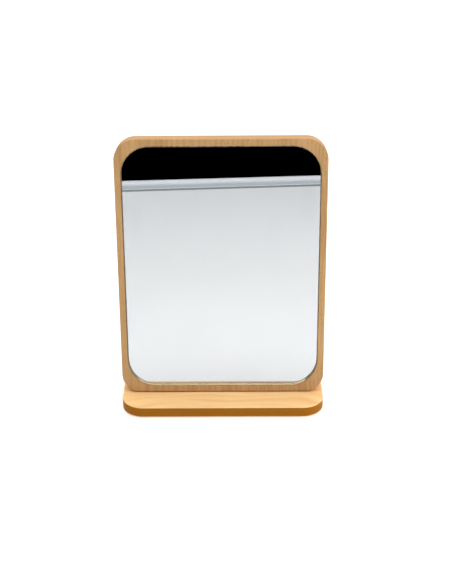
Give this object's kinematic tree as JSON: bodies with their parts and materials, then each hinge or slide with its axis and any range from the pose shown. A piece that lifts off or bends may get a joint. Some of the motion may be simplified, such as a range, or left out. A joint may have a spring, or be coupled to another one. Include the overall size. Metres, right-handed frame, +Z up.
{
  "type": "countertop mirror",
  "caption": "Upright wooden board with round corners and an inlaid mirror, leaning back on a flat wooden base, tilting on hinges behind its foot.",
  "frame": {"origin": "middle of the base's footprint, on the surface that the mirror stands on", "axes": "+Z up, +X to the mirror's right as seen from in front, -Y the way the mirror faces"},
  "size_m": [0.225, 0.1, 0.3],
  "materials": {
    "beech_board": "fine straight grain, satin lacquer",
    "beech_base": "fine straight grain, satin lacquer",
    "silvered_glass": "polished, silvered behind, ground edge",
    "foam_tape": "closed-cell foam",
    "nickel_hinge": "satin nickel",
    "steel_pin": "turned",
    "nylon_sleeve": "moulded",
    "zinc_screw": "bright zinc plate",
    "rubber_pad": "matte"
  },
  "bodies": {
    "base": {"base_board": "beech_base", "foot_pad_front_left": "rubber_pad", "foot_pad_front_right": "rubber_pad", "foot_pad_back_left": "rubber_pad", "foot_pad_back_right": "rubber_pad", "hinge_base_leaf_left": "nickel_hinge", "hinge_base_leaf_right": "nickel_hinge", "hinge_pin_left": "steel_pin", "hinge_pin_right": "steel_pin", "base_leaf_screw_left_1": "zinc_screw", "base_leaf_screw_left_2": "zinc_screw", "base_leaf_screw_right_1": "zinc_screw", "base_leaf_screw_right_2": "zinc_screw"},
    "mirror_panel": {"mirror_board": "beech_board", "mirror_glass": "silvered_glass", "mounting_tape_1": "foam_tape", "mounting_tape_2": "foam_tape", "mounting_tape_3": "foam_tape", "hinge_board_leaf_left": "nickel_hinge", "hinge_board_leaf_right": "nickel_hinge", "hinge_friction_sleeve_left": "nylon_sleeve", "hinge_friction_sleeve_right": "nylon_sleeve", "board_leaf_screw_left_1": "zinc_screw", "board_leaf_screw_left_2": "zinc_screw", "board_leaf_screw_right_1": "zinc_screw", "board_leaf_screw_right_2": "zinc_screw"}
  },
  "joints": [
    {"name": "tilt", "type": "hinge", "parent": "base", "child": "mirror_panel", "pos_m": [0, 0.00405, 0.0165], "axis": [-1, 0, 0], "range_deg": [0, 83]}
  ]
}
